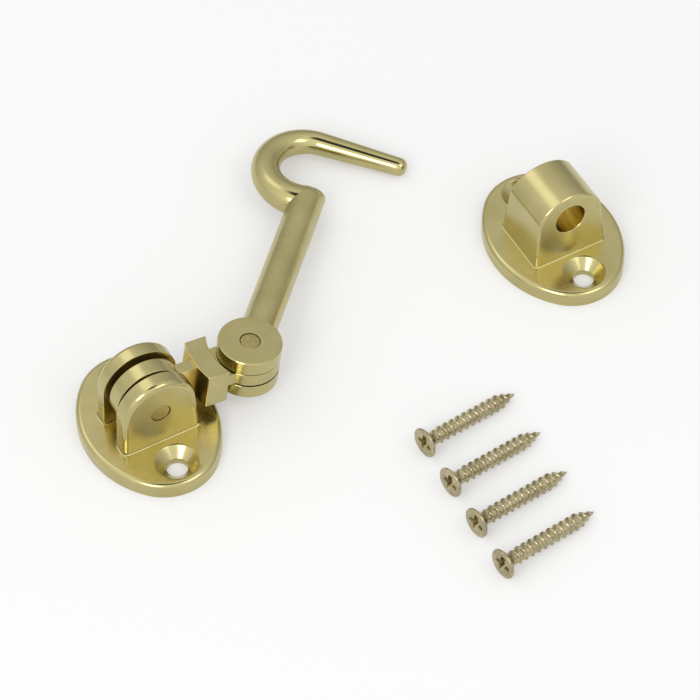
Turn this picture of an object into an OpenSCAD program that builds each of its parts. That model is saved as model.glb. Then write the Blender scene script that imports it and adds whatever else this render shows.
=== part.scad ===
// Cabin hook and eye: a hook arm on two crossed pivots, a matching eye plate and four screws.
// Millimetres, +Z up. The origin is the middle of the hook plate's underside. +X runs from the
// hook plate towards the eye plate, and +Y runs along the base pin.

/* [Screw plates] */
// Length of both oval plates, along the line of the screws
plate_l = 39.6; // [36:0.2:56]
// Width of both oval plates
plate_w = 30.2; // [27:0.2:40]
// Thickness of both plates
plate_t = 3.8; // [3:0.1:6]
// Radius of the plates' two ends
plate_end_r = 12; // [9:0.1:13]
// Rounding of the plates' top edge
plate_edge_r = 0.9; // [0.2:0.1:1.5]
// Distance between the two screw holes of a plate
hole_spacing = 27; // [26:0.2:34]
// Diameter of a screw hole
hole_d = 4.7; // [3.5:0.1:5.5]
// Diameter of a countersink at the plate's top
sink_d = 9.3; // [7:0.1:10]

/* [Hook plate ears] */
// Gap between the two ears
ear_gap = 6.1; // [5:0.1:7]
// Thickness of an ear
ear_t = 3.9; // [3:0.1:4.5]
// Radius of an ear's round top
ear_r = 8.85; // [7.5:0.05:10]
// Lean of an ear's two sides
ear_draft = 2.9; // [0:0.1:6]
// Rounding of an ear's outer edge
ear_edge_r = 0.9; // [0.2:0.1:1.5]
// Height of the base pin above the underside
pin_z = 13.3; // [12.5:0.1:18]

/* [Pins] */
// Diameter of both pivot pins
pin_d = 4.5; // [3.5:0.1:5.5]
// Gap between a pin and the bore that carries it
pin_fit = 0.05; // [0.02:0.01:0.1]
// Gap between a pin and the bore that turns on it
pin_play = 0.08; // [0.03:0.01:0.1]
// Depth of a pin's end below the face around it
pin_recess = 0.15; // [0:0.05:0.5]
// Bevel on a pin's ends
pin_bevel = 0.3; // [0.1:0.05:0.6]

/* [Link] */
// Distance from the base pin to the arm pin
link_l = 25; // [22.5:0.5:32]
// Radius of the upright tongue between the ears
tongue_r = 8; // [6:0.1:8.5]
// Thickness of the upright tongue
tongue_t = 3.8; // [3:0.1:4.4]
// Width of the neck between the tongue and the cross block
neck_w = 2.9; // [2:0.1:3.8]
// Height of the neck
neck_h = 8; // [4:0.2:9]
// Distance from the base pin to the cross block, at its middle
block_start = 11.1; // [10.8:0.1:11.6]
// Gap from the cross block's middle to the fork's cheeks
block_gap = 2; // [1.2:0.1:2.4]
// Radius of the cross block's bulging face, towards the base pin
bow_r = 21; // [16:0.5:40]
// Radius of the cross block's hollow face, towards the fork
hollow_r = 14; // [11:0.5:30]
// Width of the cross block
block_w = 11.6; // [9:0.1:13]
// Height of the cross block
block_h = 9.3; // [7:0.1:10]
// Width of the web between the cross block and the flat eye
web_w = 9; // [6:0.1:10]
// Thickness of the flat eye in the arm's fork
flat_t = 3.2; // [2.5:0.1:3.6]

/* [Hook arm] */
// Radius of the fork's two round cheeks
fork_r = 7.15; // [6:0.05:7.3]
// Height of the fork over both cheeks
fork_h = 10.8; // [9:0.1:13]
// Gap between a cheek and the flat eye
fork_play = 0.3; // [0.2:0.05:0.5]
// Rounding of the cheeks' outer rims
fork_edge_r = 0.35; // [0.1:0.05:0.8]
// Diameter of the straight shank
shank_d = 8; // [6:0.1:9]
// Distance from the arm pin to the shank's end
shank_l = 55; // [45:0.1:90]
// Rounding of the shank's end
shank_edge_r = 2.6; // [0.5:0.1:3]
// Width of the collar where the shank meets the cheeks
collar_w = 0.8; // [0.3:0.1:1.5]
// Height of that collar above the shank
collar_h = 0.2; // [0.1:0.05:0.4]

/* [Hook] */
// Distance from the shank's end back to the hook's root
root_inset = 4.1; // [4:0.1:7]
// Diameter of the hook at its root
root_d = 7.7; // [6:0.1:7.8]
// Diameter of the hook at its tip
tip_d = 4.3; // [3.5:0.1:5.5]
// Radius of the hook's bend, at its middle line
bend_r = 10; // [9:0.1:14]
// Distance of the bend's centre from the shank's middle line
bend_offset = 2; // [0:0.1:5]
// Lean of the hook's tip towards the arm pin
tip_lean = 2.5; // [0:0.5:10]
// Length of the straight leg that ends in the tip
tip_l = 20.8; // [14:0.2:26]
// Rounding of the tip's end
tip_edge_r = 1.3; // [0.5:0.1:1.7]

/* [Eye plate] */
// Distance from the hook plate's centre to the eye plate's centre, along X
eye_x = 105.1; // [104:0.1:130]
// Distance between the two plates' centres, along Y
eye_y = 2.9; // [-5:0.1:5]
// Length of the eye block's foot, along X
eye_l = 18.2; // [16:0.1:20]
// Width of the eye block's foot, along Y
eye_w = 15; // [12:0.1:15.6]
// Lean of the eye block's four sides
eye_draft = 4.5; // [1:0.1:7]
// Radius of the eye block's round top
eye_r = 8.8; // [8:0.05:10]
// Height of the round top's centre line above the underside
eye_arch_z = 12.8; // [12:0.1:16]
// Diameter of the eye's bore
bore_d = 7.5; // [6:0.1:9]
// Height of the bore above the underside
bore_z = 14.9; // [13:0.1:16]

/* [Screws] */
// Length of a screw
screw_l = 25.5; // [16:0.5:40]
// Diameter of a screw's thread
thread_d = 3.5; // [3:0.1:4.2]
// Diameter of a screw's head
head_d = 7; // [6:0.1:8.4]
// Height of the head's straight rim
head_rim = 0.3; // [0.1:0.05:0.6]
// Length of a screw's point
point_l = 5; // [3:0.1:8]
// Width of the head's cross slots
cross_w = 1; // [0.6:0.1:1.4]
// Depth of the head's cross slots
cross_depth = 1.5; // [0.8:0.1:2]
// Length of the head's cross slots
cross_l = 4.2; // [3:0.1:5]

/* [Where the loose pieces lie] */
// Swing of the arm away from the link's line
arm_angle = 46.5; // [32:0.5:100]
// Place of the first screw's head along X
screw_x = 49.2; // [40:0.1:60]
// Place of the first screw's head along Y
screw_y = -35.1; // [-45:0.1:-34]
// Step from one screw to the next along X
screw_step_x = -0.57; // [-2:0.01:2]
// Step from one screw to the next along Y
screw_step_y = -12; // [-16:0.1:-10]
// Heading of the screws' points
screw_heading = 8.2; // [-10:0.1:10]

/* [Hidden] */
$fn = 96;

satin = "#b3a866";
warm = "#a8954e";
pale = "#bdb37c";
plated = "#a39c6a";

screw_count = 4;
// How far joined shapes run into each other, and how far cuts run past a face
sink = 0.6;
past = 1;

// Oval plate: two end arcs and two side arcs that meet smoothly
end_y = plate_l/2 - plate_end_r;
side_r = (end_y*end_y + pow(plate_w/2, 2) - pow(plate_end_r, 2))/(plate_w - 2*plate_end_r);
side_x = side_r - plate_w/2;
seam = [side_x, end_y]/(side_r - plate_end_r);
sink_depth = (sink_d - hole_d)/2;

ear_outer_y = ear_gap/2 + ear_t;
// The ears' sides cross their round head just inside it and are rounded a little less,
// so that no two surfaces only touch
ear_inset = 0.1;
ear_side_edge_r = 0.95*ear_edge_r;
ear_drop = pin_z - plate_t + ear_r*sin(ear_draft) + sink;
base_pin_l = 2*(ear_outer_y - pin_recess);
arm_pin_l = fork_h - 2*pin_recess;

fork_gap = flat_t + 2*fork_play;
block_end = link_l - fork_r - block_gap;
// The link's flat eye stands this far inside the cheeks' rims, and the slot is cut this far past them
rim_step = 0.1;
slot_past = 0.25;
flat_r = fork_r - rim_step;
slot_r = fork_r + slot_past;

// Hook: a half turn from the shank's side, then a straight leg to the tip
root_x = shank_l - root_inset;
bend_c = [root_x + bend_r, bend_offset];
bend_end = bend_c + bend_r*[cos(tip_lean), -sin(tip_lean)];
leg_dir = [-sin(tip_lean), -cos(tip_lean)];
leg_l = tip_l - tip_edge_r;
tip_c = bend_end + leg_l*leg_dir;
root_l = bend_offset;
bend_arc = bend_r*(180 + tip_lean)*PI/180;
wire_l = root_l + bend_arc + leg_l;

// The arm rests on the tip's lower edge, so the link droops from the base pin
tip_u = link_l + tip_c.x*cos(arm_angle) - tip_c.y*sin(arm_angle);
droop = asin(pin_z/norm([tip_u, tip_d/2])) - atan2(tip_d/2, tip_u);

// Radius of the blunt end of a screw's point
point_r = 0.15;
// A screw on its side lies on its head's rim and on its last full thread
screw_tilt = atan2((head_d - thread_d)/2, screw_l - point_l - head_rim);
screw_z = head_d/2*cos(screw_tilt) + head_rim*sin(screw_tilt);

// Places

module on_link() {
    translate([0, 0, pin_z])
        rotate([0, droop, 0])
            children();
}

module on_arm() {
    on_link()
        translate([link_l, 0, 0])
            rotate([0, 0, arm_angle])
                children();
}

module along_y(l) {
    translate([0, l/2, 0])
        rotate([90, 0, 0])
            linear_extrude(l)
                children();
}

// Screw plates

// What a rounding of the given radius takes off a square corner at its far end
module corner_waste(edge) {
    difference() {
        square(edge + past);
        circle(edge);
    }
}

// Half section of a disc whose top edge is rounded
module soft_section(r, h, edge) {
    difference() {
        square([r, h]);
        translate([r - edge, h - edge])
            corner_waste(edge);
    }
}

// A disc whose top edge is rounded
module soft_disc(r, h, edge) {
    rotate_extrude()
        soft_section(r, h, edge);
}

// The part of the oval that the two side arcs bound
module oval_middle_zone() {
    reach = plate_w*seam;
    polygon([[0, end_y], [reach.x, end_y + reach.y], [reach.x, -end_y - reach.y],
             [0, -end_y], [-reach.x, -end_y - reach.y], [-reach.x, end_y + reach.y]]);
}

module screw_holes() {
    for (s = [-1, 1])
        translate([0, s*hole_spacing/2, 0]) {
            translate([0, 0, -past])
                cylinder(d = hole_d, h = plate_t + 2*past);
            translate([0, 0, plate_t - sink_depth])
                cylinder(d1 = hole_d, d2 = sink_d, h = sink_depth);
            translate([0, 0, plate_t])
                cylinder(d = sink_d, h = past);
        }
}

module oval_plate() {
    intersection() {
        translate([side_x, 0, 0])
            soft_disc(side_r, plate_t, plate_edge_r);
        translate([-side_x, 0, 0])
            soft_disc(side_r, plate_t, plate_edge_r);
        linear_extrude(plate_t)
            oval_middle_zone();
    }
    for (s = [-1, 1])
        translate([0, s*end_y, 0])
            soft_disc(plate_end_r, plate_t, plate_edge_r);
}

// Hook plate

// One side of both ears, seen from above, with its outer corners rounded
module ear_side_section() {
    difference() {
        translate([0, -ear_outer_y])
            square([ear_r, 2*ear_outer_y]);
        for (s = [0, 1])
            mirror([0, s])
                translate([ear_side_edge_r, ear_outer_y - ear_side_edge_r])
                    mirror([1, 0])
                        corner_waste(ear_side_edge_r);
    }
}

// Both ears: a round head on the pin's axis over two leaning sides, with the gap cut out of the middle
module ears() {
    translate([0, 0, pin_z])
        difference() {
            union() {
                rotate([90, 0, 0])
                    rotate_extrude()
                        for (s = [0, 1])
                            mirror([0, s])
                                soft_section(ear_r, ear_outer_y, ear_edge_r);
                for (s = [0, 1])
                    mirror([s, 0, 0])
                        rotate([0, ear_draft, 0])
                            translate([ear_inset - ear_r, 0, -ear_drop])
                                linear_extrude(ear_drop)
                                    ear_side_section();
            }
            cube([plate_w, ear_gap, 2*pin_z], center = true);
        }
}

module hook_plate() {
    color(satin)
        difference() {
            union() {
                oval_plate();
                ears();
            }
            screw_holes();
            translate([0, 0, pin_z])
                rotate([90, 0, 0])
                    cylinder(d = pin_d + 2*pin_fit, h = 2*ear_outer_y + 2*past, center = true);
        }
}

// Pins

module pin(l) {
    cylinder(d = pin_d, h = l - 2*pin_bevel, center = true);
    for (s = [0, 1])
        mirror([0, 0, s])
            translate([0, 0, l/2 - pin_bevel])
                cylinder(d1 = pin_d, d2 = pin_d - 2*pin_bevel, h = pin_bevel);
}

module base_pin() {
    color(warm)
        translate([0, 0, pin_z])
            rotate([90, 0, 0])
                pin(base_pin_l);
}

module arm_pin() {
    color(warm)
        on_arm()
            pin(arm_pin_l);
}

// Link

// The cross block seen from above: a bow between two arcs, cut off square at its ends
module block_plan() {
    difference() {
        intersection() {
            translate([block_start, -block_w/2])
                square([block_w, block_w]);
            translate([block_start + bow_r, 0])
                circle(bow_r, $fn = 2*$fn);
        }
        translate([block_end + hollow_r, 0])
            circle(hollow_r, $fn = 2*$fn);
    }
}

module link() {
    running_d = pin_d + 2*pin_play;
    color(satin)
        on_link()
            difference() {
                union() {
                    rotate([90, 0, 0])
                        cylinder(r = tongue_r, h = tongue_t, center = true);
                    translate([0, -neck_w/2, -neck_h/2])
                        cube([block_start + sink, neck_w, neck_h]);
                    linear_extrude(block_h, center = true)
                        block_plan();
                    translate([block_end - sink, -web_w/2, -flat_t/2])
                        cube([link_l - block_end + sink, web_w, flat_t]);
                    translate([link_l, 0, 0])
                        cylinder(r = flat_r, h = flat_t, center = true);
                }
                rotate([90, 0, 0])
                    cylinder(d = running_d, h = tongue_t + 2*past, center = true);
                translate([link_l, 0, 0])
                    cylinder(d = running_d, h = flat_t + 2*past, center = true);
            }
}

// Hook arm

module fork_head() {
    for (s = [0, 1])
        mirror([0, 0, s])
            soft_disc(fork_r, fork_h/2, fork_edge_r);
    intersection() {
        cylinder(r = fork_r + collar_w, h = fork_h, center = true);
        rotate([0, 90, 0])
            cylinder(d = shank_d + 2*collar_h, h = fork_r + 2*collar_w);
    }
}

// Solid of one ring after another, each a list of the same number of points
module loft(rings) {
    n = len(rings[0]);
    last = len(rings) - 1;
    sides = [for (k = [0:last - 1], i = [0:n - 1]) let (j = (i + 1)%n)
        [k*n + i, (k + 1)*n + i, (k + 1)*n + j, k*n + j]];
    ends = [[for (i = [0:n - 1]) i], [for (i = [0:n - 1]) last*n + n - 1 - i]];
    polyhedron([for (r = rings) each r], concat(sides, ends));
}

// Taper from the root's radius to the tip's, by the length along the middle line
function wire_r(s) = (root_d + (tip_d - root_d)*s/wire_l)/2;

// Ring round the point c, square to a middle line whose side direction has the angle a
function ring(c, a, r, n = 40) = [for (i = [0:n - 1])
    [c.x + r*cos(360*i/n)*cos(a), c.y + r*cos(360*i/n)*sin(a), r*sin(360*i/n)]];

function root_rings() = [ring([root_x, 0], 180, wire_r(0))];

function bend_rings(steps = 32) = [for (k = [0:steps]) let (t = k/steps, a = 180 - (180 + tip_lean)*t)
    ring(bend_c + bend_r*[cos(a), sin(a)], a, wire_r(root_l + bend_arc*t))];

function tip_rings(steps = 5) = [for (k = [0:steps]) let (t = 86*k/steps)
    ring(tip_c + tip_edge_r*sin(t)*leg_dir, -tip_lean, tip_d/2 - tip_edge_r*(1 - cos(t)))];

module hook_wire() {
    loft(concat(root_l > 0 ? root_rings() : [], bend_rings(), tip_rings()));
}

module hook_arm() {
    color(pale)
        on_arm()
            difference() {
                union() {
                    fork_head();
                    rotate([0, 90, 0])
                        soft_disc(shank_d/2, shank_l, shank_edge_r);
                    hook_wire();
                }
                cylinder(r = slot_r, h = fork_gap, center = true);
                cylinder(d = pin_d + 2*pin_fit, h = fork_h + 2*past, center = true);
            }
}

// Eye plate

// The eye block seen along the bore: leaning sides under a round top
module eye_front() {
    foot = eye_l/2;
    top = eye_arch_z + eye_r;
    lean = tan(eye_draft);
    low = plate_t - sink;
    intersection() {
        polygon([[-foot - sink*lean, low], [foot + sink*lean, low],
                 [foot - (top - plate_t)*lean, top], [-foot + (top - plate_t)*lean, top]]);
        union() {
            translate([0, eye_arch_z])
                circle(eye_r);
            translate([-foot - past, low])
                square([2*foot + 2*past, eye_arch_z - low]);
        }
    }
}

// The eye block seen across the bore
module eye_side() {
    foot = eye_w/2;
    top = eye_arch_z + eye_r;
    lean = tan(eye_draft);
    polygon([[-foot - sink*lean, plate_t - sink], [foot + sink*lean, plate_t - sink],
             [foot - (top - plate_t)*lean, top], [-foot + (top - plate_t)*lean, top]]);
}

module eye_plate() {
    color(satin)
        translate([eye_x, eye_y, 0])
            difference() {
                union() {
                    oval_plate();
                    intersection() {
                        along_y(eye_w + 2*past)
                            eye_front();
                        rotate([0, 0, 90])
                            along_y(eye_l + 2*past)
                                eye_side();
                    }
                }
                screw_holes();
                translate([0, 0, bore_z])
                    rotate([90, 0, 0])
                        cylinder(d = bore_d, h = eye_w + 2*past, center = true);
            }
}

// Screws

module screw_blank() {
    cone = (head_d - thread_d)/2;
    difference() {
        rotate_extrude()
            polygon([[0, 0], [head_d/2, 0], [head_d/2, head_rim], [thread_d/2, head_rim + cone],
                     [thread_d/2, screw_l - point_l], [point_r, screw_l], [0, screw_l]]);
        for (a = [0, 90])
            rotate([0, 0, a])
                translate([-cross_l/2, -cross_w/2, -past])
                    cube([cross_l, cross_w, cross_depth + past]);
    }
}

module screw(i) {
    color(plated)
        translate([screw_x + i*screw_step_x, screw_y + i*screw_step_y, screw_z])
            rotate([0, 90 + screw_tilt, screw_heading])
                screw_blank();
}

hook_plate();
base_pin();
link();
arm_pin();
hook_arm();
eye_plate();
for (i = [0:screw_count - 1])
    screw(i);
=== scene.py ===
from math import acos, asin, atan2, cos, degrees, pi, radians, sin, sqrt, tan

import bmesh
import bpy
from mathutils import Matrix, Vector


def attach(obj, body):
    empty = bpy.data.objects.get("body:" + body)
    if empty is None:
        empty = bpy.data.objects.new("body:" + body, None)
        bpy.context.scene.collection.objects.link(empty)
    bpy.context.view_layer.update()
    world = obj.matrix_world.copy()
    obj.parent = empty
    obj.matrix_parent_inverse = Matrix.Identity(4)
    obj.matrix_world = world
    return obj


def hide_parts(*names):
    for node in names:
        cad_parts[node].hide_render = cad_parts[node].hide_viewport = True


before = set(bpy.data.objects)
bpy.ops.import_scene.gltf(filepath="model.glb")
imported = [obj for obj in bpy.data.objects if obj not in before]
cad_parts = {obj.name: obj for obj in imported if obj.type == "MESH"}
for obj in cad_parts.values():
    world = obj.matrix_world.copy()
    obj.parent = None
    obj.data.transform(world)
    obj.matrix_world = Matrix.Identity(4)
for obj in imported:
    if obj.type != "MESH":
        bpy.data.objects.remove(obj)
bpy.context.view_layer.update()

scene = bpy.context.scene
scene.view_settings.view_transform = "Standard"
print("frame:", len(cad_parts), "nodes")

mm = 0.001  # sizes here are millimetres, and meshes are scaled to metres when they are finished
near = 1e-4  # points closer than this are taken as one


def turn(angle, axis):
    return Matrix.Rotation(radians(angle), 4, axis)


def shift(x, y, z):
    return Matrix.Translation((x, y, z))


# where the moving pieces lie at rest
rest = dict(pinHeight=13.3, droop=7.4434, linkLength=25.0, swing=46.5)
onLink = shift(0, 0, rest["pinHeight"]) @ turn(rest["droop"], "Y")
onArm = onLink @ shift(rest["linkLength"], 0, 0) @ turn(rest["swing"], "Z")


# camera, floor and light

view = dict(place=(-187.4, -425.5, 597.0), lookAt=(49.3, -2.0, 0.0), lens=177.2, sensor=36.0, near=10.0)


def aim(thing, spot, target):
    thing.location = Vector(spot)*mm
    thing.rotation_euler = (Vector(target) - Vector(spot)).to_track_quat("-Z", "Y").to_euler()
    scene.collection.objects.link(thing)


camera = bpy.data.objects.new("camera", bpy.data.cameras.new("camera"))
camera.data.lens = view["lens"]
camera.data.sensor_width = view["sensor"]
camera.data.clip_start = view["near"]*mm
aim(camera, view["place"], view["lookAt"])
scene.camera = camera


class Wire:
    # wraps a shader socket, so that maths on it reads as plain Python
    def __init__(self, tree, socket=None):
        self.tree, self.socket = tree, socket

    def add(self, kind, sockets=None, out=0, **settings):
        node = self.tree.nodes.new("ShaderNode" + kind)
        for key, value in settings.items():
            setattr(node, key, value)
        for key, value in (sockets or {}).items():
            if isinstance(value, Wire):
                self.tree.links.new(value.socket, node.inputs[key])
            else:
                node.inputs[key].default_value = value
        return Wire(self.tree, node.outputs[out] if node.outputs else None)

    def maths(self, operation, a, b=0.0):
        return self.add("Math", {0: a, 1: b}, operation=operation)

    def __add__(self, other):
        return self.maths("ADD", self, other)

    def __sub__(self, other):
        return self.maths("SUBTRACT", self, other)

    def __rsub__(self, other):
        return self.maths("SUBTRACT", other, self)

    def __mul__(self, other):
        return self.maths("MULTIPLY", self, other)

    __radd__ = __add__
    __rmul__ = __mul__

    def between(self, low, high):
        # colour mix: low where this value is 0, high where it is 1
        low, high = (c if isinstance(c, Wire) else (*c, 1) for c in (low, high))
        return self.add("Mix", {0: self, 6: low, 7: high}, out=2, data_type="RGBA")

    def fade(self, low, high):
        # 0 below low, 1 above high, smooth between
        return self.add("MapRange", {"Value": self, "From Min": low, "From Max": high},
                        interpolation_type="SMOOTHSTEP")


def emptyTree(owner):
    owner.use_nodes = True
    owner.node_tree.nodes.clear()
    return Wire(owner.node_tree)


floorLook = dict(size=6.0, colour=(0.80, 0.80, 0.795), dusty=(0.78, 0.78, 0.775), grain=900.0, rough=0.95,
                 glow=0.30)


def makeFloor():
    bm = bmesh.new()
    bmesh.ops.create_grid(bm, x_segments=4, y_segments=4, size=floorLook["size"]/2)
    mesh = bpy.data.meshes.new("floor")
    bm.to_mesh(mesh)
    bm.free()
    floor = bpy.data.objects.new("floor", mesh)
    scene.collection.objects.link(floor)
    material = bpy.data.materials.new("floorPaper")
    start = emptyTree(material)
    coords = start.add("TexCoord", out=3)
    grain = start.add("TexNoise", {"Vector": coords, "Scale": floorLook["grain"], "Detail": 2.0})
    colour = grain.between(floorLook["colour"], floorLook["dusty"])
    paper = start.add("BsdfPrincipled", {"Base Color": colour, "Roughness": floorLook["rough"],
                                         "Specular IOR Level": 0.0})
    # seen directly or in metal, the paper is lifted towards the photo's white
    direct, glossy, through = (start.add("LightPath", out=ray) for ray in (0, 3, 6))
    white = start.add("Emission", {"Color": (1, 1, 1, 1), "Strength": 1.0})
    lifted = start.add("MixShader", {0: (direct + glossy + through)*floorLook["glow"], 1: paper, 2: white})
    start.add("OutputMaterial", {"Surface": lifted})
    mesh.materials.append(material)


lamps = [
    # the place, the point it faces and the size are in mm; radiance is added to the tent behind the lamp
    dict(name="backBox", place=(-55, 253, 380), faces=(45, 0, 10), size=(190, 190), radiance=0.80),
    dict(name="keyBox", place=(-510, -387, 594), faces=(45, 0, 0), size=(340, 340), radiance=5.0),
    dict(name="frontBox", place=(324, -495, 702), faces=(45, 0, 0), size=(400, 340), radiance=1.85),
]
# the tent round the set: brighter with height, darker to the right and the back, with a dark top opening
tent = dict(level=0.695, rise=0.49, fallRight=0.233, fallBack=0.233, opening=(0.955, 0.985), inside=0.05)


def makeLight():
    for lamp in lamps:
        width, height = (side*mm for side in lamp["size"])
        data = bpy.data.lights.new(lamp["name"], "AREA")
        data.shape = "RECTANGLE"
        data.size, data.size_y = width, height
        data.energy = lamp["radiance"]*pi*width*height
        aim(bpy.data.objects.new(lamp["name"], data), lamp["place"], lamp["faces"])
    scene.world = bpy.data.worlds.new("studio")
    start = emptyTree(scene.world)
    towards = start.add("TexCoord", out=0)
    right, back, up = (start.add("SeparateXYZ", {0: towards}, out=axis) for axis in range(3))
    level = tent["level"] + up*tent["rise"] - right*tent["fallRight"] - back*tent["fallBack"]
    strength = level*(1 - up.fade(*tent["opening"])*(1 - tent["inside"]))
    sky = start.add("Background", {"Color": (1, 1, 1, 1), "Strength": strength})
    start.add("OutputWorld", {"Surface": sky})


makeFloor()
makeLight()
print("stage: camera, floor and", len(lamps), "lamps")


# finishes

noiseMiddle = 0.5
# the inner-face colour is painted light: a golden reflection of light bounced between close brass faces,
# painted on bores, gaps and faces that look at other pieces
satin = dict(deep=(0.455, 0.40, 0.178), pale=(0.525, 0.463, 0.222), inside=(0.80, 0.66, 0.28),
             tones=(0.3, 0.7), cloud=130.0, cloudShare=0.7, cloudRough=0.06,
             lines=6500.0, stretch=18.0, lineRough=0.10, lineDepth=0.00003, lineBump=0.08,
             rough=0.25, polished=0.06, smoothed=0.7)
matte = dict(deep=(0.35, 0.285, 0.115), pale=(0.50, 0.415, 0.185), tones=(0.35, 0.65), rough=0.36,
             speck=2200.0, speckRough=0.2, speckDepth=0.0001, speckBump=0.35)
plated = dict(deep=(0.29, 0.25, 0.14), pale=(0.55, 0.48, 0.30), tones=(0.3, 0.7), rough=0.20,
              speck=1900.0, speckShare=0.65, speckDepth=0.00006, speckBump=0.25, cloud=260.0, cloudRough=0.2)


def metal(name, colour, rough, relief):
    surface = colour.add("BsdfPrincipled", {"Base Color": colour, "Metallic": 1.0, "Roughness": rough,
                                            "Normal": relief})
    colour.add("OutputMaterial", {"Surface": surface})
    print("finish:", name)


def brushedBrass(name, turned=(0, 0, 0)):
    # satin brass whose fine brush lines run along the local X of its turned coordinates
    material = bpy.data.materials.new(name)
    start = emptyTree(material)
    coords = start.add("TexCoord", out=3)
    along = start.add("Mapping", {"Vector": coords, "Rotation": [radians(a) for a in turned],
                                  "Scale": (1/satin["stretch"], 1, 1)})
    lines = start.add("TexNoise", {"Vector": along, "Scale": satin["lines"], "Detail": 2.0, "Roughness": 0.55})
    cloud = start.add("TexNoise", {"Vector": coords, "Scale": satin["cloud"], "Detail": 3.0})
    polish = start.add("Attribute", attribute_name="polish", out=2)
    # the mask of the painted golden reflection on bores and gaps
    inside = start.add("Attribute", attribute_name="inside", out=2)
    uneven = (lines - noiseMiddle)*satin["lineRough"] + (cloud - noiseMiddle)*satin["cloudRough"]
    rough = satin["rough"] + uneven - polish*(satin["rough"] - satin["polished"])
    relief = start.add("Bump", {"Height": lines*(1 - polish*satin["smoothed"]), "Strength": satin["lineBump"],
                                "Distance": satin["lineDepth"]})
    tone = (cloud*satin["cloudShare"] + lines*(1 - satin["cloudShare"])).fade(*satin["tones"])
    # faces in that mask are painted towards the golden inner-face colour, a painted reflection
    colour = inside.between(tone.between(satin["deep"], satin["pale"]), satin["inside"])
    metal(name, colour, rough, relief)
    return material


def cutBrass(name):
    # the pins' sheared ends: dull, with a fine speckle
    material = bpy.data.materials.new(name)
    start = emptyTree(material)
    coords = start.add("TexCoord", out=3)
    speck = start.add("TexNoise", {"Vector": coords, "Scale": matte["speck"], "Detail": 4.0, "Roughness": 0.7})
    relief = start.add("Bump", {"Height": speck, "Strength": matte["speckBump"],
                                "Distance": matte["speckDepth"]})
    colour = speck.fade(*matte["tones"]).between(matte["deep"], matte["pale"])
    metal(name, colour, matte["rough"] + (speck - noiseMiddle)*matte["speckRough"], relief)
    return material


def platedSteel(name):
    # brass-plated screws: greyer and duller than the castings
    material = bpy.data.materials.new(name)
    start = emptyTree(material)
    coords = start.add("TexCoord", out=3)
    speck = start.add("TexNoise", {"Vector": coords, "Scale": plated["speck"], "Detail": 4.0,
                                   "Roughness": 0.65})
    cloud = start.add("TexNoise", {"Vector": coords, "Scale": plated["cloud"], "Detail": 2.0})
    relief = start.add("Bump", {"Height": speck, "Strength": plated["speckBump"],
                                "Distance": plated["speckDepth"]})
    tone = (speck*plated["speckShare"] + cloud*(1 - plated["speckShare"])).fade(*plated["tones"])
    colour = tone.between(plated["deep"], plated["pale"])
    metal(name, colour, plated["rough"] + (cloud - noiseMiddle)*plated["cloudRough"], relief)
    return material


# shapes

smallEdge = dict(most=0.5, steps=3)  # roundings up to this size get few steps


def newShape():
    bm = bmesh.new()
    bm.loops.layers.float.new("polish")
    # the second layer carries the painted golden reflection of bores and gaps
    bm.loops.layers.float.new("inside")
    return bm


def mark(bm, faces, amount, name="polish"):
    # how far these faces are polished, or how much painted golden glow they take, a painted reflection of light
    # bounced in bores and narrow gaps
    layer = bm.loops.layers.float[name]
    for face in faces:
        for loop in face.loops:
            loop[layer] = amount


def fresh(items, old):
    return [item for item in items if item not in old]


def only(kind, items):
    return [item for item in items if isinstance(item, kind)]


def facesOf(verts):
    return {face for vert in verts for face in vert.link_faces}


def level(item, height):
    return all(abs(vert.co.z - height) < near for vert in item.verts)


def line(bm, vert, x, y):
    end = bm.verts.new((x, y, 0))
    bm.edges.new((vert, end))
    return end


def arc(bm, vert, x, y, angle, steps):
    # draws an arc from a vertex round a point in the XY plane, and gives its last vertex
    made = bmesh.ops.spin(bm, geom=[vert], cent=(x, y, 0), axis=(0, 0, 1), angle=radians(angle), steps=steps)
    return only(bmesh.types.BMVert, made["geom_last"])[0]


def lathe(bm, points, x=0.0, y=0.0, steps=72):
    # turns a profile of (radius, height) pairs round an upright axis
    old = set(bm.faces)
    verts = [bm.verts.new((x + r, y, z)) for r, z in points]
    edges = [bm.edges.new(pair) for pair in zip(verts, verts[1:])]
    bmesh.ops.spin(bm, geom=verts + edges, cent=(x, y, 0), axis=(0, 0, 1), angle=2*pi, steps=steps,
                   use_merge=True)
    return fresh(bm.faces, old)


def carryOn(bm, edges):
    # extrudes a ring, and gives the new ring's vertices and edges
    made = bmesh.ops.extrude_edge_only(bm, edges=edges)["geom"]
    return only(bmesh.types.BMVert, made), only(bmesh.types.BMEdge, made)


def flatFace(faces, height):
    return max([f for f in faces if level(f, height)], key=lambda f: f.calc_area())


def roundEdges(bm, edges, size, steps, amount):
    made = bmesh.ops.bevel(bm, geom=edges, offset=size, offset_type="OFFSET", segments=steps, profile=0.5,
                           affect="EDGES", material=-1)
    mark(bm, made["faces"], amount)


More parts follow.
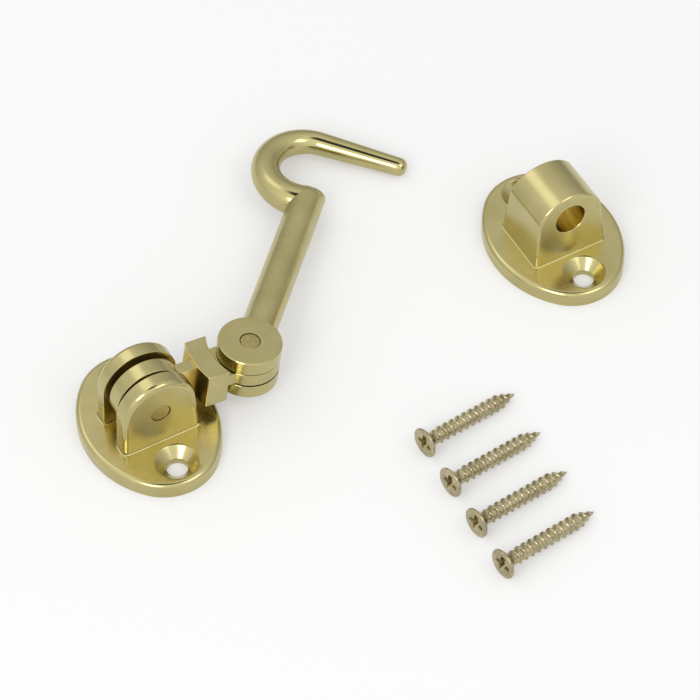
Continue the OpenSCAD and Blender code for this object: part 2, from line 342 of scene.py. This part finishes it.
def slab(bm, outline, depth, top=0.0, bottom=0.0, holes=(), steps=6, corners=(), rimPolish=0.5):
    # an outline in the XY plane raised to a plate, with rounded rims and turned holes
    # a hole is (x, y, profile from the top rim down to the bottom rim, polish)
    oldVerts, oldFaces, oldEdges = set(bm.verts), set(bm.faces), set(bm.edges)
    outline(bm)
    bmesh.ops.remove_doubles(bm, verts=fresh(bm.verts, oldVerts), dist=near)
    base = bmesh.ops.edgeloop_fill(bm, edges=fresh(bm.edges, oldEdges))["faces"][0]
    raised = bmesh.ops.extrude_face_region(bm, geom=[base])["geom"]
    bmesh.ops.translate(bm, verts=only(bmesh.types.BMVert, raised), vec=(0, 0, depth))
    for x, y, size in corners:
        spot = Vector((x, y))
        upright = [e for e in fresh(bm.edges, oldEdges) if abs(e.verts[0].co.z - e.verts[1].co.z) > depth/2
                   and (e.verts[0].co.xy - spot).length < 0.02]
        roundEdges(bm, upright, size, smallEdge["steps"], rimPolish)
    for size, height in ((top, depth), (bottom, 0.0)):
        if size:
            flat = flatFace(fresh(bm.faces, oldFaces), height)
            enough = steps if size > smallEdge["most"] else smallEdge["steps"]
            roundEdges(bm, list(flat.edges), size, enough, rimPolish)
    faces = fresh(bm.faces, oldFaces)
    bmesh.ops.delete(bm, geom=[flatFace(faces, depth), flatFace(faces, 0.0)], context="FACES_ONLY")
    for x, y, profile, amount in holes:
        mark(bm, lathe(bm, profile, x, y, 64), amount)
    for height, up in ((depth, 1), (0.0, -1)):
        rim = [e for e in fresh(bm.edges, oldEdges) if len(e.link_faces) == 1 and level(e, height)]
        bmesh.ops.triangle_fill(bm, edges=rim, use_beauty=True, normal=(0, 0, up))
    new = fresh(bm.verts, oldVerts)
    bmesh.ops.recalc_face_normals(bm, faces=fresh(bm.faces, oldFaces))
    return new


def wideFaces(verts, height):
    # the flat triangles at this height among the faces of some vertices
    return [f for f in facesOf(verts) if level(f, height)]


def brokenRim(radius, rim):
    # the lower rim of a hole, down to its underside
    shoulder = rim*0.3
    return [(radius, rim), (radius + shoulder, shoulder), (radius + rim, 0.0)]


def softHole(radius, depth, rim=0.12):
    # profile of a plain bore with broken edges
    low = brokenRim(radius, rim)
    return [(r, depth - z) for r, z in reversed(low)] + low


def boxLoop(bm, low, high, radius, height):
    # rounded rectangle, drawn as one closed loop of edges
    oldVerts, oldEdges = set(bm.verts), set(bm.edges)
    vert = bm.verts.new((high[0], low[1] + radius, 0))
    for x, y, outX, outY in ((high[0], high[1], 0, -1), (low[0], high[1], 1, 0), (low[0], low[1], 0, 1),
                             (high[0], low[1], -1, 0)):
        inX, inY = (1 if x == low[0] else -1), (1 if y == low[1] else -1)
        vert = line(bm, vert, x + outX*radius, y + outY*radius)
        vert = arc(bm, vert, x + inX*radius, y + inY*radius, 90, 5)
    new = fresh(bm.verts, oldVerts)
    bmesh.ops.translate(bm, verts=new, vec=(0, 0, height))
    bmesh.ops.remove_doubles(bm, verts=new, dist=near)
    return fresh(bm.edges, oldEdges)


def footFillet(bm, low, high, radius, size, floor):
    # a small hollow fillet round an upright foot, from the wall out to the floor it stands on
    oldFaces = set(bm.faces)
    buried, lap, tightest = 0.08, 0.05, 0.02
    hollow = [(size*(1 - cos(radians(a))), size*(1 - sin(radians(a)))) for a in range(0, 91, 15)]
    steps = [(-buried, size + lap)] + hollow + [(size, -buried), (-buried, -buried)]
    loops = [boxLoop(bm, (low[0] - out, low[1] - out), (high[0] + out, high[1] + out),
                     max(radius + out, tightest), floor + up) for out, up in steps]
    for inner, outer in zip(loops, loops[1:] + loops[:1]):
        bmesh.ops.bridge_loops(bm, edges=inner + outer)
    new = fresh(bm.faces, oldFaces)
    bmesh.ops.recalc_face_normals(bm, faces=new)
    mark(bm, new, plate["filletPolish"])


def place(bm, verts, matrix):
    bmesh.ops.transform(bm, matrix=matrix, verts=verts)


def finish(bm, name, material, body, sharp=28.0):
    bmesh.ops.scale(bm, vec=(mm, mm, mm), verts=bm.verts)
    mesh = bpy.data.meshes.new(name)
    bm.to_mesh(mesh)
    bm.free()
    for polygon in mesh.polygons:
        polygon.use_smooth = True
    mesh.set_sharp_from_angle(angle=radians(sharp))
    mesh.materials.append(material)
    piece = bpy.data.objects.new(name + "Look", mesh)
    scene.collection.objects.link(piece)
    even = piece.modifiers.new("evenNormals", "WEIGHTED_NORMAL")
    even.keep_sharp = True
    even.weight = 80
    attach(piece, body)
    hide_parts(name)
    print("piece:", name, len(mesh.polygons), "faces")


# screw plates

plate = dict(length=39.6, width=30.2, thick=3.8, endRadius=12.0, edge=1.15, underEdge=0.15, rimPolish=0.3,
             holeGap=27.0, hole=4.7, holeRim=0.14, sink=9.3, sinkPolish=0.3, fillet=0.28, filletPolish=0.35,
             brushed=12)
# the countersink's fine ring and its foot, as steps out from their edges and down
sinkRing = ((0.26, 0.0), (0.20, 0.03), (0.16, 0.13), (0.06, 0.16), (-0.08, 0.24))
sinkFoot = ((0.14, -0.14), (0.04, -0.02), (0.0, 0.12))


def ovalOutline(bm):
    endY = plate["length"]/2 - plate["endRadius"]
    half = plate["width"]/2
    sideRadius = (endY**2 + half**2 - plate["endRadius"]**2)/(plate["width"] - 2*plate["endRadius"])
    sideX = sideRadius - half
    seam = atan2(endY, sideX)
    sideTurn = 2*degrees(seam)
    vert = bm.verts.new((plate["endRadius"]*cos(seam), endY + plate["endRadius"]*sin(seam), 0))
    for x, y, angle, steps in ((0, endY, 180 - sideTurn, 40), (sideX, 0, sideTurn, 44),
                               (0, -endY, 180 - sideTurn, 40), (-sideX, 0, sideTurn, 44)):
        vert = arc(bm, vert, x, y, angle, steps)


def sinkProfile():
    # countersunk screw hole, from the plate's top to its underside
    top, hole, sink = plate["thick"], plate["hole"]/2, plate["sink"]/2
    low = top - (sink - hole)
    return ([(sink + out, top - down) for out, down in sinkRing]
            + [(hole + out, low - down) for out, down in sinkFoot] + brokenRim(hole, plate["holeRim"]))


def ovalPlate(bm):
    holes = [(0, side*plate["holeGap"]/2, sinkProfile(), plate["sinkPolish"]) for side in (1, -1)]
    slab(bm, ovalOutline, plate["thick"], top=plate["edge"], bottom=plate["underEdge"], holes=holes, steps=9,
         rimPolish=plate["rimPolish"])


# hook plate

# the ears' inner-face share is a painted golden reflection on their faces towards the gap
ears = dict(gap=6.1, thick=3.9, radius=8.85, draft=2.9, sunk=1.6, edge=1.3, innerEdge=0.2, footCorner=0.78,
            rimPolish=0.7, dull=-0.6, inside=0.8, bore=4.6, boreRim=0.06, borePolish=0.3)


def earReach(height):
    # half the length of an ear at this height, between its leaning sides
    lean, radius = radians(ears["draft"]), ears["radius"]
    return radius*cos(lean) + (rest["pinHeight"] + radius*sin(lean) - height)*tan(lean)


def earOutline(bm):
    lean, radius, pin = radians(ears["draft"]), ears["radius"], rest["pinHeight"]
    low = plate["thick"] - ears["sunk"]
    foot = earReach(low)
    start = bm.verts.new((radius*cos(lean), pin + radius*sin(lean), 0))
    end = arc(bm, start, 0, pin, 180 - 2*ears["draft"], 64)
    corner = line(bm, line(bm, end, -foot, low), foot, low)
    bm.edges.new((corner, start))


def makeHookPlate():
    bm = newShape()
    ovalPlate(bm)
    bore = softHole(ears["bore"]/2, ears["thick"], ears["boreRim"])
    inner, outer = ears["gap"]/2, ears["gap"]/2 + ears["thick"]
    foot = earReach(plate["thick"])
    for angle, low, high in ((0, -outer, -inner), (180, inner, outer)):
        ear = slab(bm, earOutline, ears["thick"], top=ears["edge"], bottom=ears["innerEdge"], steps=9,
                   rimPolish=ears["rimPolish"], holes=[(0, rest["pinHeight"], bore, ears["borePolish"])])
        mark(bm, wideFaces(ear, ears["thick"]), ears["dull"])
        # painted reflection: the ear's face towards the gap is painted golden, as light bounced from the tongue
        # would make it
        mark(bm, wideFaces(ear, 0.0), ears["inside"], "inside")
        place(bm, ear, turn(angle, "Z") @ shift(0, -inner, 0) @ turn(90, "X"))
        footFillet(bm, (-foot, low), (foot, high), ears["footCorner"], plate["fillet"], plate["thick"])
    finish(bm, "hook_plate", brushedBrass("hookPlateBrass", (0, 0, plate["brushed"])), "base")


# pins

pins = dict(width=4.5, baseLength=13.6, armLength=10.5, bevel=0.06, dome=0.05, groove=0.09, grooveDeep=0.7,
            grooveFoot=0.1)


def makePin(name, length, matrix, body):
    bm = newShape()
    half, bevel, radius = length/2, pins["bevel"], pins["width"]/2
    neck, rim, foot = radius - pins["groove"], half - pins["dome"], half - pins["grooveDeep"]
    end = [(0.0, half), (neck*0.5, half - pins["dome"]*0.3), (neck - bevel, rim), (neck, rim - bevel),
           (neck, foot), (radius, foot - pins["grooveFoot"])]
    lathe(bm, end + [(r, -z) for r, z in reversed(end)])
    bmesh.ops.remove_doubles(bm, verts=bm.verts, dist=near)
    bmesh.ops.recalc_face_normals(bm, faces=bm.faces)
    place(bm, bm.verts, matrix)
    finish(bm, name, cutBrass(name + "Brass"), body)


# link

# the link's inner-face share is a painted golden reflection on its tongue, its neck and the block's faces
# towards the ears
link = dict(tongueRadius=8.0, tongueThick=3.8, neckStart=5.0, neckWide=2.9, neckHigh=8.0, neckEdge=0.15,
            blockStart=11.1, blockEnd=15.85, bow=21.0, hollow=14.0, blockWide=11.6, blockHigh=9.3,
            webWide=9.0, flatThick=3.2, flatRadius=7.05, flatEdge=0.15, bore=4.66, borePolish=0.3, edge=0.22,
            edgePolish=0.5, lap=0.6, inside=0.7)
facing = 0.7  # a face looks along an axis when its normal has more than this of it


def tongueOutline(bm):
    bmesh.ops.create_circle(bm, radius=link["tongueRadius"], segments=96)


def blockEnds():
    half = link["blockWide"]/2
    bowX = link["blockStart"] + link["bow"] - sqrt(link["bow"]**2 - half**2)
    hollowX = link["blockEnd"] + link["hollow"] - sqrt(link["hollow"]**2 - half**2)
    return half, bowX, hollowX


def blockOutline(bm):
    half, bowX, hollowX = blockEnds()
    start = bm.verts.new((bowX, half, 0))
    end = arc(bm, start, link["blockStart"] + link["bow"], 0, 2*degrees(asin(half/link["bow"])), 20)
    far = line(bm, end, hollowX, -half)
    far = arc(bm, far, link["blockEnd"] + link["hollow"], 0, -2*degrees(asin(half/link["hollow"])), 24)
    bm.edges.new((far, start))


def flatOutline(bm):
    half, centre, radius = link["webWide"]/2, rest["linkLength"], link["flatRadius"]
    back = asin(half/radius)
    root = link["blockEnd"] - link["lap"]
    start = bm.verts.new((centre - radius*cos(back), -half, 0))
    end = arc(bm, start, centre, 0, 360 - 2*degrees(back), 88)
    corner = line(bm, line(bm, end, root, half), root, -half)
    bm.edges.new((corner, start))


def makeLink():
    bm = newShape()
    edge, thick, glow = link["edge"], link["tongueThick"], link["inside"]
    bore = softHole(link["bore"]/2, thick)
    tongue = slab(bm, tongueOutline, thick, top=edge, bottom=edge, holes=[(0, 0, bore, link["borePolish"])])
    # painted reflection: both flat faces of the tongue, which face the ears, are painted golden
    for height in (0.0, thick):
        mark(bm, wideFaces(tongue, height), ears["inside"], "inside")
    place(bm, tongue, shift(0, thick/2, 0) @ turn(90, "X"))
    old = set(bm.faces)
    neckStart, neckEnd = link["neckStart"], link["blockStart"] + link["lap"]
    neck = bmesh.ops.create_cube(bm, size=1.0)["verts"]
    place(bm, neck, shift((neckStart + neckEnd)/2, 0, 0)
          @ Matrix.Diagonal((neckEnd - neckStart, link["neckWide"], link["neckHigh"], 1)))
    roundEdges(bm, list({e for v in neck for e in v.link_edges}), link["neckEdge"], 2, link["edgePolish"])
    bm.normal_update()
    # painted reflection: the neck's sides and underside are painted golden
    paintedGlowFaces = [f for f in fresh(bm.faces, old) if abs(f.normal.y) > facing or f.normal.z < -facing]
    mark(bm, paintedGlowFaces, glow, "inside")
    half, bowX, hollowX = blockEnds()
    corners = [(x, y, edge) for x in (bowX, hollowX) for y in (half, -half)]
    block = slab(bm, blockOutline, link["blockHigh"], top=edge, bottom=edge, corners=corners)
    # painted reflection: the block's bow face, towards the ears, and its underside are painted golden
    paintedGlowFaces = [f for f in facesOf(block) if min(f.normal.x, f.normal.z) < -facing]
    mark(bm, paintedGlowFaces, glow, "inside")
    place(bm, block, shift(0, 0, -link["blockHigh"]/2))
    bore = softHole(link["bore"]/2, link["flatThick"])
    flat = slab(bm, flatOutline, link["flatThick"], top=link["flatEdge"], bottom=link["flatEdge"],
                holes=[(rest["linkLength"], 0, bore, link["borePolish"])])
    place(bm, flat, shift(0, 0, -link["flatThick"]/2))
    place(bm, bm.verts, onLink)
    finish(bm, "link", brushedBrass("linkBrass"), "swivel")


# hook arm

arm = dict(forkRadius=7.15, forkHigh=10.8, slot=3.8, rim=0.35, rimPolish=0.8, slotEdge=0.12, bore=4.6,
           boreRim=0.1, borePolish=0.3, shank=8.0, shankStart=11.0, shankLength=55.0, cornerRound=1.8,
           cornerStart=1.1, cornerEnd=0.98, endOver=0.05)
# rings of the collar: how far past the fork's rim, and how much wider than the shank's radius
# the first is drawn in, to clear the link's web at the end of the swing
collar = ((-0.03, -0.05), (0.15, 0.2), (0.68, 0.2), (0.8, 0.14), (0.88, 0.02), (1.0, 0.0))
hook = dict(rootInset=4.1, rootWide=7.7, tipWide=4.3, bend=10.0, offset=2.0, lean=2.5, tipLength=20.8,
            tipEnd=1.8, worn=0.8, wornSide=(-0.69, 0.0, 0.73), wornEdge=(0.55, 0.85), wornLeg=(3, 8),
            wornRoot=(4, 8), wornAcross=(-5, -1))


def cheekOutline(bm):
    bmesh.ops.create_circle(bm, radius=arm["forkRadius"], segments=112)


def sleeve(bm, stations, steps=96):
    # a tube along X; each station gives how far along a ring's points are, from their side offset,
    # and the ring's half width and half height
    ring = bmesh.ops.create_circle(bm, radius=1.0, segments=steps, matrix=turn(90, "Y"))["verts"]
    first = edges = list({e for v in ring for e in v.link_edges})
    lastWide, lastHigh = 1.0, 1.0
    for number, (along, wide, high) in enumerate(stations):
        if number:
            ring, edges = carryOn(bm, edges)
        for vert in ring:
            y, z = vert.co.y*wide/lastWide, vert.co.z*high/lastHigh
            vert.co = (along(y), y, z)
        lastWide, lastHigh = wide, high
    return first, edges


def closeHollow(bm, ring):
    # closes a ring that lies on an upright cylinder, with strips that run straight up and down
    upper, lower = ([e for e in ring if all(v.co.z*side > near for v in e.verts)] for side in (1, -1))
    made = bmesh.ops.bridge_loops(bm, edges=upper + lower)
    bmesh.ops.holes_fill(bm, edges=ring + made["edges"], sides=4)


def shankStations():
    around = lambda reach: lambda y: sqrt(reach**2 - y**2)
    at = lambda x: lambda y: x
    radius, start = arm["shank"]/2, arm["shankStart"]
    root = arm["shankLength"] - hook["rootInset"]
    stations = [(around(arm["forkRadius"] + past), radius + over, radius + over) for past, over in collar]
    stations += [(at(start + (root - start)*k/8), radius, radius) for k in range(9)]
    for angle in range(8, 89, 8):
        # the end is rounded like the root of the hook that crosses it, with rounded corners
        x = root + (hook["rootWide"]/2 + arm["endOver"])*sin(radians(angle))
        past = max(0.0, (x - arm["shankLength"])/arm["cornerRound"] + arm["cornerStart"])
        drop = 1 - sqrt(1 - min(past, arm["cornerEnd"])**2)
        stations.append((at(x), radius - arm["cornerRound"]*drop, radius*cos(radians(angle))))
    return stations


def makeHookArm():
    bm = newShape()
    thick = (arm["forkHigh"] - arm["slot"])/2
    bore = softHole(arm["bore"]/2, thick, arm["boreRim"])
    for side in (0, 180):
        cheek = slab(bm, cheekOutline, thick, top=arm["rim"], bottom=arm["slotEdge"],
                     rimPolish=arm["rimPolish"], holes=[(0, 0, bore, arm["borePolish"])])
        place(bm, cheek, turn(side, "X") @ shift(0, 0, arm["slot"]/2))
    start, end = sleeve(bm, shankStations())
    closeHollow(bm, start)
    bmesh.ops.edgeloop_fill(bm, edges=end)
    hookFaces(bm)
    bmesh.ops.recalc_face_normals(bm, faces=bm.faces)
    place(bm, bm.verts, onArm)
    finish(bm, "hook_arm", brushedBrass("armBrass", (0, 0, -rest["swing"])), "arm")


def hookRows(centre):
    # middle, heading and radius of each ring, from the root round the bend and out to the tip
    root, lean, bend = arm["shankLength"] - hook["rootInset"], hook["lean"], hook["bend"]
    leg, bendSteps, legSteps = hook["tipLength"] - hook["tipEnd"], 48, 12
    bendLength = radians(180 + lean)*bend
    total = hook["offset"] + bendLength + leg
    radius = lambda s: (hook["rootWide"] + (hook["tipWide"] - hook["rootWide"])*s/total)/2
    rows = [(Vector((root, 0, 0)), 180.0, radius(0))]
    for k in range(bendSteps + 1):
        angle = 180 - (180 + lean)*k/bendSteps
        side = Vector((cos(radians(angle)), sin(radians(angle)), 0))
        rows.append((centre + side*bend, angle, radius(hook["offset"] + bendLength*k/bendSteps)))
    last, away = rows[-1][0], Vector((-sin(radians(lean)), -cos(radians(lean)), 0))
    for k in range(1, legSteps + 1):
        rows.append((last + away*leg*k/legSteps, -lean,
                     radius(hook["offset"] + bendLength + leg*k/legSteps)))
    tip = rows[-1][0]
    for a in range(15, 91, 15):
        rows.append((tip + away*hook["tipEnd"]*sin(radians(a)), -lean,
                     hook["tipWide"]/2 - hook["tipEnd"]*(1 - cos(radians(a)))))
    return rows


def hookFaces(bm):
    # a ring carried round the bend and out to the tip, thinner all the way
    oldFaces = set(bm.faces)
    centre = Vector((arm["shankLength"] - hook["rootInset"] + hook["bend"], hook["offset"], 0))
    ring = bmesh.ops.create_circle(bm, radius=1.0, segments=64, matrix=turn(90, "X"))["verts"]
    edges = list({e for v in ring for e in v.link_edges})
    bmesh.ops.edgeloop_fill(bm, edges=edges)
    lastMiddle, lastAngle, lastRadius = Vector((0, 0, 0)), 0.0, 1.0
    for number, (middle, angle, radius) in enumerate(hookRows(centre)):
        if number:
            ring, edges = carryOn(bm, edges)
        place(bm, ring, Matrix.Translation(middle) @ turn(angle - lastAngle, "Z")
              @ Matrix.Scale(radius/lastRadius, 4) @ Matrix.Translation(-lastMiddle))
        lastMiddle, lastAngle, lastRadius = middle, angle, radius
    bmesh.ops.edgeloop_fill(bm, edges=edges)
    wearHook(bm, fresh(bm.faces, oldFaces), centre)


def wearHook(bm, faces, centre):
    # the eye has rubbed the leg and the root bright on their upper sides
    bmesh.ops.recalc_face_normals(bm, faces=faces)
    bm.normal_update()
    layer, worn = bm.loops.layers.float["polish"], Vector(hook["wornSide"])
    soft = lambda ends, x: min(1.0, max(0.0, (x - ends[0])/(ends[1] - ends[0])))
    for face in faces:
        for loop in face.loops:
            away = loop.vert.co - centre
            onLeg = soft(hook["wornLeg"], away.x)
            onRoot = soft(hook["wornRoot"], -away.x)*soft(hook["wornAcross"], -away.y)
            turned = soft(hook["wornEdge"], loop.vert.normal.dot(worn))
            loop[layer] = hook["worn"]*max(onLeg, onRoot)*turned


# eye plate

# the eye's inner-face share is a painted golden reflection on its bore wall
eye = dict(x=105.1, y=2.9, long=18.2, wide=15.0, draft=4.5, radius=8.8, archHeight=12.8, sunk=1.0, edge=0.6,
           crease=0.3, rimPolish=0.7, dull=-0.3, bore=7.5, boreHeight=14.9, boreRim=0.16, borePolish=0.2,
           inside=0.68)


def eyeCrease():
    # where the leaning side meets the round top
    lean, foot = tan(radians(eye["draft"])), eye["long"]/2
    top = foot - (eye["archHeight"] - plate["thick"])*lean
    a, b, c = 1 + lean**2, -2*top*lean, top**2 - eye["radius"]**2
    rise = (-b + sqrt(b**2 - 4*a*c))/(2*a)
    return top - rise*lean, eye["archHeight"] + rise


def eyeOutline(bm):
    x, y = eyeCrease()
    low = plate["thick"] - eye["sunk"]
    foot = eye["long"]/2 + eye["sunk"]*tan(radians(eye["draft"]))
    start = bm.verts.new((x, y, 0))
    end = arc(bm, start, 0, eye["archHeight"], 180 - 2*degrees(acos(x/eye["radius"])), 60)
    corner = line(bm, line(bm, end, -foot, low), foot, low)
    bm.edges.new((corner, start))


def makeEyePlate():
    bm = newShape()
    ovalPlate(bm)
    x, y = eyeCrease()
    bore = softHole(eye["bore"]/2, eye["wide"], eye["boreRim"])
    block = slab(bm, eyeOutline, eye["wide"], top=eye["edge"], bottom=eye["edge"], rimPolish=eye["rimPolish"],
                 corners=[(x, y, eye["crease"]), (-x, y, eye["crease"])],
                 holes=[(0, eye["boreHeight"], bore, eye["borePolish"])])
    mark(bm, wideFaces(block, eye["wide"]), eye["dull"])
    # painted reflection: the bore's wall is painted golden
    middle, reach = Vector((0, eye["boreHeight"])), eye["bore"]/2 + 0.1  # short of the bore's broken rims
    wall = [f for f in facesOf(block) if all((v.co.xy - middle).length < reach for v in f.verts)]
    mark(bm, wall, eye["inside"], "inside")
    half, lean = eye["wide"]/2, tan(radians(eye["draft"]))
    for vert in block:
        # the front and back lean in towards the top
        vert.co.z = (vert.co.z - half)*(1 - (vert.co.y - plate["thick"])*lean/half)
    place(bm, block, turn(90, "X"))
    long = eye["long"]/2
    footFillet(bm, (-long, -half), (long, half), eye["edge"], plate["fillet"], plate["thick"])
    place(bm, bm.verts, shift(eye["x"], eye["y"], 0))
    finish(bm, "eye_plate", brushedBrass("eyePlateBrass", (0, 0, plate["brushed"])), "base",
           sharp=16.0)


# screws

screw = dict(length=25.5, head=7.0, core=2.9, thread=3.75, pitch=1.75, threadStart=0.5, threadEnd=0.5,
             point=4.6, pointFull=0.75, cross=4.5, crossWide=1.45, crossEnds=0.8)
headRim = ((-0.25, 0.0), (-0.10, 0.04), (-0.01, 0.14), (0.0, 0.22), (-0.05, 0.44))  # out from the rim, down
headNeck = ((0.55, -0.35), (0.18, 0.15), (0.0, 0.8))  # out from the core, down from the cone's end
crossWalls = ((0.5, 0.82), (1.9, 0.42))  # depth, and share of the width above
screwRow = dict(x=49.2, y=-35.1, stepX=-0.57, stepY=-12.0, heading=8.2, tilt=4.9512, height=3.5128)


def crossOutline(bm):
    half, wide = screw["cross"]/2, screw["crossWide"]/2
    tip = wide*screw["crossEnds"]
    start = vert = bm.verts.new((half, -tip, 0))
    for x, y in ((half, tip), (wide, wide), (tip, half), (-tip, half), (-wide, wide), (-half, tip),
                 (-half, -tip), (-wide, -wide), (-tip, -half), (tip, -half), (wide, -wide)):
        vert = line(bm, vert, x, y)
    bm.edges.new((vert, start))


def pointShare(z):
    # how much of its full width the screw still has at this height
    left = min(1.0, max(0.0, (screw["length"] - z)/screw["point"]))
    return left**screw["pointFull"]


def makeScrew(number):
    bm = newShape()
    head, core, length = screw["head"]/2, screw["core"]/2, screw["length"]
    heights = [length - screw["point"]*(1 - k/8) for k in range(8)]
    lathe(bm, [(head + out, down) for out, down in headRim]
          + [(core + out, head - core + down) for out, down in headNeck]
          + [(core*pointShare(z), z) for z in heights] + [(0.0, length)], steps=64)
    crossOutline(bm)
    bmesh.ops.remove_doubles(bm, verts=bm.verts, dist=near)
    flat = [e for e in bm.edges if len(e.link_faces) < 2 and level(e, 0.0)]
    inner = [e for e in flat if not e.link_faces]
    bmesh.ops.triangle_fill(bm, edges=flat, use_beauty=True, normal=(0, 0, -1))
    for depth, share in crossWalls:
        low, inner = carryOn(bm, inner)
        bmesh.ops.scale(bm, vec=(share, share, 1), verts=low)
        for vert in low:
            vert.co.z = depth
    bmesh.ops.edgeloop_fill(bm, edges=inner)
    threadRidge(bm)
    bmesh.ops.recalc_face_normals(bm, faces=bm.faces)
    x, y = screwRow["x"] + number*screwRow["stepX"], screwRow["y"] + number*screwRow["stepY"]
    place(bm, bm.verts, shift(x, y, screwRow["height"]) @ turn(screwRow["heading"], "Z")
          @ turn(90 + screwRow["tilt"], "Y"))
    name = "screw_%d" % (number + 1)
    finish(bm, name, platedSteel("screwPlate%d" % (number + 1)), "base", sharp=40.0)


def threadRidge(bm):
    # a closed ridge carried along a right-hand helix, rising out of the shaft and drawn in to the point
    old = set(bm.verts)
    core, crest, pitch = screw["core"]/2, screw["thread"]/2, screw["pitch"]
    root, begin = core - 0.15, screw["head"]/2 - core + screw["threadStart"]
    halfWide, thinnest = 0.5, 0.04
    side = [(root, halfWide), (core + 0.02, 0.4), (crest - 0.13, 0.16), (crest - 0.03, 0.08)]
    profile = [(r, -z) for r, z in side] + [(crest, 0.0)] + side[::-1]
    verts = [bm.verts.new((r, 0, begin + z)) for r, z in profile]
    edges = [bm.edges.new(pair) for pair in zip(verts, verts[1:] + verts[:1])]
    bmesh.ops.edgeloop_fill(bm, edges=edges)
    turns = (screw["length"] - screw["threadEnd"] - begin)/pitch
    steps = int(40*turns)
    made = bmesh.ops.spin(bm, geom=verts + edges, cent=(0, 0, 0), axis=(0, 0, 1), angle=2*pi*turns, steps=steps,
                          dvec=(0, 0, pitch*turns/steps))
    bmesh.ops.edgeloop_fill(bm, edges=only(bmesh.types.BMEdge, made["geom_last"]))
    for vert in fresh(bm.verts, old):
        reach, share = vert.co.xy.length, pointShare(vert.co.z)
        rise = min(1.0, max(0.0, (vert.co.z - begin + halfWide)/pitch))
        vert.co.xy *= (root + (reach - root)*rise)*max(share, thinnest)/reach


makeHookPlate()
makePin("base_pin", pins["baseLength"], shift(0, 0, rest["pinHeight"]) @ turn(90, "X"), "base")
makeLink()
makePin("arm_pin", pins["armLength"], onArm, "arm")
makeHookArm()
makeEyePlate()
for number in range(4):
    makeScrew(number)
